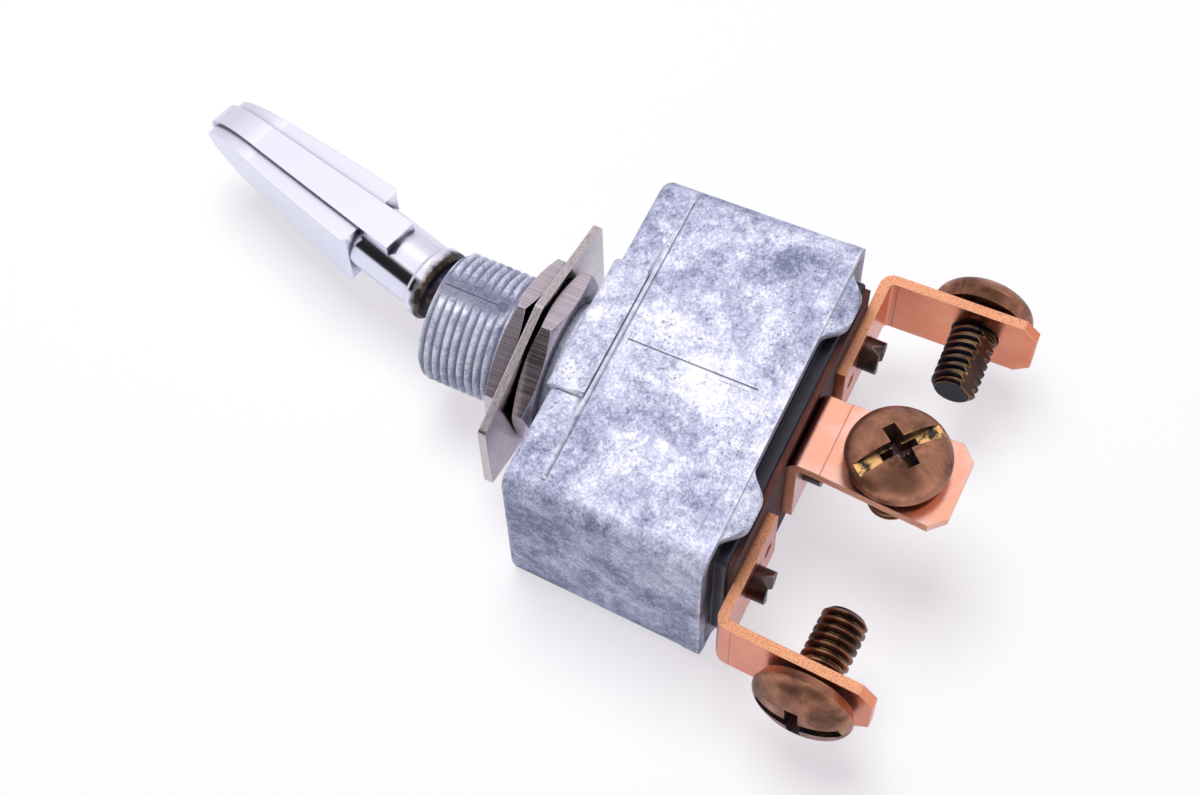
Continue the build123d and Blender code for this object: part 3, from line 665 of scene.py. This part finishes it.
def fibre_finish():
    """Pressed fibre with strands along the sheet."""
    finish = Finish("red_brown_fibre")
    tint = colours().fibre
    strands = finish.noise(1400, detail=5, at=finish.stretched((0.2, 1, 1)))
    colour = finish.ramp(
        strands, (0.35, shade(tint, 0.5)), (0.55, tint), (0.75, shade(tint, 1.9)))
    finish.set(
        Base_Color=colour, Roughness=finish.remap(strands, 0.3, 0.7, 0.62, 0.8),
        Normal=finish.bump(strands, 0.3, 0.05 * MM, finish.rounded(0.08 * MM)))
    return finish.material


def plain_metal_finish(name, tint, roughness):
    """Clean metal with a faint grain."""
    finish = Finish(name)
    grain = finish.noise(2600, detail=4)
    colour = finish.mix(finish.remap(grain, 0.35, 0.7), shade(tint, 0.75), tint)
    finish.set(
        Base_Color=colour, Metallic=1.0,
        Roughness=finish.remap(grain, 0.3, 0.7, roughness, roughness + 0.12),
        Normal=finish.bump(grain, 0.12, 0.04 * MM))
    return finish.material


def paint(piece, *materials):
    """Give a new piece its materials, in the order of its material slots."""
    piece.data.materials.clear()
    for material in materials:
        piece.data.materials.append(material)


# Pieces

class SWITCH_OT_stage(bpy.types.Operator):
    """Make the floor, the lights, the surroundings and the camera"""
    bl_idname = "toggle_switch.stage"
    bl_label = "Make Stage"

    def execute(self, context):
        self.floor()
        self.surroundings(context.scene)
        self.lamp("key_lamp", place=(-0.07, -0.07, 0.42), size=0.27, power=1.90)
        self.lamp("fill_lamp", place=(0.26, 0.16, 0.26), size=0.30, power=0.06)
        self.camera(context.scene)
        context.scene.view_settings.view_transform = "Standard"
        return {"FINISHED"}

    def floor(self):
        """A pale disc under the switch that also shines a little, less so in mirrors."""
        deselect_all()
        lowest = CAD_BOX[0][2]
        bpy.ops.mesh.primitive_circle_add(
            vertices=64, radius=1.2, fill_type="NGON", location=(0, 0, lowest))
        piece = new_piece("floor")
        settle(piece)
        finish = Finish("pale_floor")
        haze = finish.noise(6, detail=2)
        colour = finish.ramp(haze, (0.3, (0.90, 0.96, 0.90)), (0.7, (0.92, 0.98, 0.92)))
        finish.set(Base_Color=colour, Roughness=0.9)
        path = finish.add("ShaderNodeLightPath", {})
        mirrored = path.outputs["Is Glossy Ray"]
        shine = finish.mix(mirrored, (1.0, 0.95, 1.0), (0.74, 0.72, 0.90))
        glow = finish.add("ShaderNodeEmission", {"Color": shine, "Strength": 1.0})
        seen = finish.maths("MAXIMUM", mirrored, path.outputs["Is Transmission Ray"])
        seen = finish.maths("MAXIMUM", path.outputs["Is Camera Ray"], seen)
        blend = finish.add("ShaderNodeMixShader", {
            0: finish.times(seen, 0.64), 1: finish.surface.outputs["BSDF"],
            2: glow.outputs["Emission"]})
        finish.feed(finish.output.inputs["Surface"], blend.outputs["Shader"])
        paint(piece, finish.material)

    def surroundings(self, scene):
        """White for the camera, a dim room for rough surfaces, a brighter one for mirrors."""
        world = bpy.data.worlds.new("soft_room")
        scene.world = world
        world.use_nodes = True
        tree = world.node_tree
        tree.nodes.clear()
        path = tree.nodes.new("ShaderNodeLightPath")
        place = tree.nodes.new("ShaderNodeTexCoord")
        room = self.background(tree, (0.84, 0.84, 1.0), 0.24)
        white = self.background(tree, (1, 1, 1), 1.0)
        mirror = self.background(tree, (1, 1, 1), 1.35)
        camera_side = self.level(
            tree, place, CAMERA_BACK,
            ((0.0, 0.60), (0.30, 0.70), (0.56, 0.96), (0.80, 0.66), (0.93, 0.14)))
        card = self.level(
            tree, place, DARK_CARD, ((0.0, 1.0), (0.86, 1.0), (0.945, 0.03), (1.0, 0.01)))
        both = tree.nodes.new("ShaderNodeMix")
        both.data_type = "RGBA"
        both.blend_type = "MULTIPLY"
        both.inputs[0].default_value = 1
        tree.links.new(camera_side, both.inputs[6])
        tree.links.new(card, both.inputs[7])
        tree.links.new(both.outputs[2], mirror.inputs["Color"])
        indirect = self.blend(
            tree, path.outputs["Is Glossy Ray"], room.outputs[0], mirror.outputs[0])
        whole = self.blend(tree, path.outputs["Is Camera Ray"], indirect, white.outputs[0])
        output = tree.nodes.new("ShaderNodeOutputWorld")
        tree.links.new(whole, output.inputs["Surface"])

    def background(self, tree, colour, strength):
        node = tree.nodes.new("ShaderNodeBackground")
        node.inputs["Color"].default_value = (*colour, 1)
        node.inputs["Strength"].default_value = strength
        return node

    def blend(self, tree, share, first, second):
        """Go from the first shader to the second by one share."""
        node = tree.nodes.new("ShaderNodeMixShader")
        for source, socket in zip((share, first, second), node.inputs):
            tree.links.new(source, socket)
        return node.outputs["Shader"]

    def level(self, tree, place, direction, stops):
        """A grey level that depends on the angle from one direction of the room."""
        toward = tree.nodes.new("ShaderNodeVectorMath")
        toward.operation = "DOT_PRODUCT"
        tree.links.new(place.outputs["Generated"], toward.inputs[0])
        toward.inputs[1].default_value = direction
        ramp = tree.nodes.new("ShaderNodeValToRGB")
        set_stops(ramp.color_ramp, [
            (position, (grey, grey * 0.985, grey * 1.03)) for position, grey in stops])
        tree.links.new(toward.outputs["Value"], ramp.inputs["Fac"])
        return ramp.outputs["Color"]

    def lamp(self, name, place, size, power):
        """A round lamp that looks at the origin and is not mirrored in the metal."""
        light = bpy.data.lights.new(name, "AREA")
        light.shape = "DISK"
        light.size = size
        light.energy = power
        lamp = bpy.data.objects.new(name, light)
        bpy.context.scene.collection.objects.link(lamp)
        lamp.visible_glossy = False
        lamp.location = place
        lamp.rotation_euler = (-Vector(place)).to_track_quat("-Z", "Y").to_euler()

    def camera(self, scene):
        lens = bpy.data.cameras.new("camera")
        lens.lens = 69.0
        lens.sensor_width = 36.0
        lens.clip_start = 0.01
        lens.clip_end = 10
        camera = bpy.data.objects.new("camera", lens)
        scene.collection.objects.link(camera)
        turn = Matrix((CAMERA_RIGHT, CAMERA_UP, CAMERA_BACK)).transposed()
        camera.matrix_world = Matrix.Translation(CAMERA_PLACE) @ turn.to_4x4()
        scene.camera = camera


class SWITCH_OT_casting(bpy.types.Operator):
    """Cut the thread, its smooth bands and the die's lines into the housing"""
    bl_idname = "toggle_switch.casting"
    bl_label = "Make Casting"

    def execute(self, context):
        size = sizes()
        casting = cad_copy("housing", "die_cast_housing")
        below_seat = -0.3 * MM
        past_mouth = 8.2 * MM
        thread = thread_cutter(
            BUSHING_RADIUS, size.thread_depth, size.thread_pitch, below_seat, past_mouth)
        thread.data.transform(UPRIGHT_TO_FRAME)
        cut(casting, thread, *[self.flat(size, side) for side in (1, -1)])
        for turn in (0, math.pi):
            cut(casting, *self.die_lines(size, turn))
        tidy_mesh(casting, SLIVER, drop_slivers=True)
        self.mark(size, casting.data)
        smooth(casting)
        paint(casting, zinc_finish())
        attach(casting, "housing")
        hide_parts("housing")
        return {"FINISHED"}

    def flat(self, size, side):
        """Cutter for one smooth band, from just above the seat to past the bushing's mouth."""
        half = 5 * MM
        outer = 8 * MM
        return box_cutter((-half, -8.5 * MM, side * size.thread_flat),
                          (half, -0.04 * MM, side * outer))

    def mark(self, size, mesh):
        """Tell the thread's roots from everything else."""
        heights = mesh.attributes.new(THREAD_HEIGHT, "FLOAT", "POINT")
        root = BUSHING_RADIUS - size.thread_depth
        for vertex, height in zip(mesh.vertices, heights.data):
            reach = math.hypot(vertex.co.x, vertex.co.z)
            outside = vertex.co.y < 0 and reach > root - 0.1 * MM
            height.value = min((reach - root) / size.thread_depth, 1) if outside else 1

    def die_lines(self, size, turn):
        """Cutters for the fine lines on one broad face and for the seam on the bushing above it.

        Each line has two corners, in millimetres across and down the face, and a depth."""
        half = size.parting_width / 2
        depth = size.parting_depth
        lines = (
            # The middle line, a short one across its start and a scratch beside its end
            ((-0.10, 4.05), (0.10, 15.9), 1.5 * depth),
            ((-0.75, 4.0), (0.55, 4.1), depth / 2),
            ((0.42, 12.6), (0.50, 15.2), depth / 3),
            # The foot and the two sides of the boss
            ((-6.70, 2.97), (6.70, 3.10), depth),
            ((6.62, 0.5), (6.77, 3.03), 0.9 * depth),
            ((-6.77, 0.5), (-6.62, 3.03), 0.9 * depth),
            # Long lines at the rim band and below the boss
            ((-14.6, 16.72), (14.6, 16.90), depth / 3),
            ((-14.4, 3.46), (14.4, 3.60), depth / 2),
        )
        proud = 4 * depth
        face = Matrix.Translation(FACE_TOP) @ Matrix.Rotation(DRAFT, 4, "X")
        side = Matrix.Rotation(turn, 4, "Y")
        cutters = []
        for low, high, deep in lines:
            cutter = box_cutter((low[0] * MM, low[1] * MM, -deep),
                                (high[0] * MM, high[1] * MM, proud))
            cutter.data.transform(side @ face)
            cutters.append(cutter)
        # The seam runs along the smooth band and stops short of the mouth and of the seat
        seam = box_cutter((-half, -7.1 * MM, size.thread_flat - depth / 2),
                          (half, -2.0 * MM, size.thread_flat + depth))
        seam.data.transform(side)
        return [*cutters, seam]


class SWITCH_OT_terminal_screws(bpy.types.Operator):
    """Model one terminal screw with its recesses and thread, and seat three copies"""
    bl_idname = "toggle_switch.terminal_screws"
    bl_label = "Make Terminal Screws"

    # Material slots of a screw, after the tarnish on its head
    FLOOR_SLOT = 1
    RECESS_SLOT = 2
    THREAD_SLOT = 3

    def execute(self, context):
        size = sizes()
        tint = colours()
        finishes = (
            bronze_finish("tarnished_brass_screw", tint.bronze, 0.8),
            recess_finish("rubbed_slot", tint.grease, tint.gold),
            recess_finish("dark_recess", tint.black, shade(tint.bronze, 0.3)),
            bronze_finish("tarnished_brass_thread", shade(tint.bronze, 0.6), 1.0),
        )
        burnt = bronze_finish("burnt_brass_thread", tint.burnt, 1.0)
        screw = self.model(size, finishes)
        # Side, direction that a screw's turn is measured from, turn and distance backed off
        places = (
            ("right", (0, 0, 1), size.turn_right, size.end_screw_out),
            ("left", (0, 0, -1), size.turn_left, size.end_screw_out),
            ("middle", (-1, 0, 0), size.turn_middle, size.middle_screw_out),
        )
        for side, along, turn, out in places:
            joint = JOINTS[f"screw_{side}_turn"]
            outwards = Vector(joint["axis"]).normalized()
            first = Vector(along)
            first = (first - outwards * first.dot(outwards)).normalized()
            second = outwards.cross(first)
            seat = Vector(joint["pos_m"]) + outwards * out
            axes = Matrix((first, second, outwards)).transposed().to_4x4()
            piece = copy_piece(screw, f"terminal_screw_{side}")
            piece.data.transform(
                Matrix.Translation(seat) @ axes @ Matrix.Rotation(turn, 4, "Z"))
            if side == "left":
                piece.data.materials[self.THREAD_SLOT] = burnt
                cut(piece, self.worn_flat(size, seat))
            smooth(piece)
            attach(piece, f"screw_{side}")
            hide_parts(f"screw_{side}")
        bpy.data.objects.remove(screw)
        return {"FINISHED"}

    def worn_flat(self, size, seat):
        """Cutter for the flat that is worn along the left screw's thread."""
        below_head = 1.62 * MM
        depth = 0.36 * MM
        half = 3 * MM
        lean = math.radians(37)
        flat = box_cutter((below_head, size.shank_radius - depth, -half),
                          (size.shank_length + MM, half, half))
        flat.data.transform(Matrix.Translation(seat) @ Matrix.Rotation(lean, 4, "X"))
        return flat

    def model(self, size, finishes):
        """The screw, upright, with its seat at the origin."""
        rings = 14
        rise = size.head_height - size.head_rim
        steps = [i / rings * math.pi / 2 for i in range(rings)]
        arc = [(size.head_radius * math.cos(step), size.head_rim + rise * math.sin(step))
               for step in steps]
        chamfer = 0.5 * MM
        crown_radius = 0.2 * MM
        profile = [
            (size.shank_radius - chamfer, -size.shank_length),
            (size.shank_radius, chamfer - size.shank_length),
            (size.shank_radius, 0),
            (size.head_seat_radius, 0),
            *arc,
            (crown_radius, size.head_height),
        ]
        screw = turned("terminal_screw", profile, 96)
        past_end = -size.shank_length - 0.5 * MM
        under_head = -0.7 * MM
        thread = thread_cutter(
            size.shank_radius, size.screw_depth, size.screw_pitch, past_end, under_head, steps=40)
        past_head = 6 * MM
        half = size.slot_width / 2
        floor = size.head_height - size.slot_depth
        slot = box_cutter((-past_head, -half, floor), (past_head, half, size.head_height + MM))
        cut(screw, thread, slot, *[self.cross_wing(size, turn) for turn in (0, math.pi / 2)])
        tidy_mesh(screw)
        paint(screw, *finishes)
        self.mark(size, screw.data)
        return screw

    def mark(self, size, mesh):
        """Choose each face's material, and tell the thread's crests from its roots."""
        floor = size.head_height - size.slot_depth
        rise = size.head_height - size.head_rim
        for face in mesh.polygons:
            level = face.center.z
            reach = min(math.hypot(face.center.x, face.center.y) / size.head_radius, 1)
            dome = size.head_rim + rise * math.sqrt(1 - reach * reach)
            on_floor = abs(level - floor) < 0.01 * MM and abs(face.normal.z) > 0.9
            on_head = level > 0.5 * MM and reach < 0.93
            if level < -0.05 * MM:
                face.material_index = self.THREAD_SLOT
            elif on_floor:
                face.material_index = self.FLOOR_SLOT
            elif on_head and dome - level > 0.12 * MM:
                face.material_index = self.RECESS_SLOT
        heights = mesh.attributes.new(THREAD_HEIGHT, "FLOAT", "POINT")
        root = size.shank_radius - size.screw_depth
        for vertex, height in zip(mesh.vertices, heights.data):
            reach = math.hypot(vertex.co.x, vertex.co.y)
            height.value = 1.0 if vertex.co.z >= 0 else min((reach - root) / size.screw_depth, 1)

    def cross_wing(self, size, turn):
        """One pair of the cross recess's wings, which taper towards its bottom."""
        reach = size.cross_span / 2
        half = 0.62 * MM
        bottom_reach = 1.2 * MM
        bottom_half = 0.3 * MM
        wing = box_cutter((-reach, -half, size.head_height - size.cross_depth),
                          (reach, half, size.head_height + 0.01 * MM))
        for vertex in wing.data.vertices:
            if vertex.co.z < size.head_height - MM:
                vertex.co.x *= bottom_reach / reach
                vertex.co.y *= bottom_half / half
        wing.data.transform(Matrix.Rotation(turn, 4, "Z"))
        return wing


class SWITCH_OT_finishes(bpy.types.Operator):
    """Give the lever, the nuts, the plate, the terminals and the inner works their finishes"""
    bl_idname = "toggle_switch.finishes"
    bl_label = "Apply Finishes"

    def execute(self, context):
        tint = colours()
        across_ends = 2
        across_middle = 0
        finishes = (
            (chrome_finish(), ["lever"]),
            (nickel_finish("nickel_nut", tint.nickel, True), ["back_nut", "front_nut"]),
            (nickel_finish("nickel_plate", tint.plate, False), ["plate"]),
            (copper_finish("copper_end_strip", across_ends, END_BEND_LINE, tint.copper,
                           tint.copper_rubbed), ["terminal_right", "terminal_left"]),
            # The middle strip's paler copper is painted highlight
            (copper_finish("copper_middle_strip", across_middle, MIDDLE_BEND_LINE,
                           tint.copper_painted_highlight, tint.copper_rubbed_painted_highlight), ["terminal_middle"]),
            (plain_metal_finish("dulled_pin", shade(tint.zinc_mid, 0.62), 0.50), ["pivot_pin"]),
            (bronze_finish("tarnished_stud", tint.stud, 0.9, threaded=False),
             ["stud_right", "stud_left", "stud_middle"]),
            (black_finish(), ["base"]),
            (fibre_finish(), ["insulating_sheet"]),
            (plain_metal_finish("silver_contact", tint.silver, 0.22),
             ["rocker_contact_right", "rocker_contact_left", "fixed_contact_right",
              "fixed_contact_left"]),
            (plain_metal_finish("inner_copper", tint.copper, 0.30), ["rocker", "rocker_bracket"]),
            (plain_metal_finish("plunger_brass", tint.gold, 0.25), ["plunger"]),
            (plain_metal_finish("spring_steel", tint.steel, 0.28), ["plunger_spring"]),
        )
        for material, names in finishes:
            for name in names:
                for slot in frame["nodes"][name].material_slots:
                    slot.material = material
        return {"FINISHED"}


class SWITCH_PT_panel(bpy.types.Panel):
    """Sidebar panel of the toggle switch"""
    bl_idname = "SWITCH_PT_panel"
    bl_label = "Toggle Switch"
    bl_space_type = "VIEW_3D"
    bl_region_type = "UI"
    bl_category = "Toggle Switch"

    def draw(self, context):
        column = self.layout.column()
        for operator in OPERATORS:
            column.operator(operator.bl_idname)
        for group in (context.scene.switch_sizes, context.scene.switch_colours):
            for name in group.__annotations__:
                column.prop(group, name)


OPERATORS = (
    SWITCH_OT_stage, SWITCH_OT_casting, SWITCH_OT_terminal_screws, SWITCH_OT_finishes,
)
CLASSES = (SwitchSizes, SwitchColours, *OPERATORS, SWITCH_PT_panel)


def register():
    for item in CLASSES:
        bpy.utils.register_class(item)
    bpy.types.Scene.switch_sizes = bpy.props.PointerProperty(type=SwitchSizes)
    bpy.types.Scene.switch_colours = bpy.props.PointerProperty(type=SwitchColours)


def unregister():
    del bpy.types.Scene.switch_colours
    del bpy.types.Scene.switch_sizes
    for item in reversed(CLASSES):
        bpy.utils.unregister_class(item)


def main():
    register()
    bpy.ops.toggle_switch.stage()
    bpy.ops.toggle_switch.casting()
    bpy.ops.toggle_switch.terminal_screws()
    bpy.ops.toggle_switch.finishes()
    bpy.context.view_layer.update()


if __name__ == "__main__":
    main()
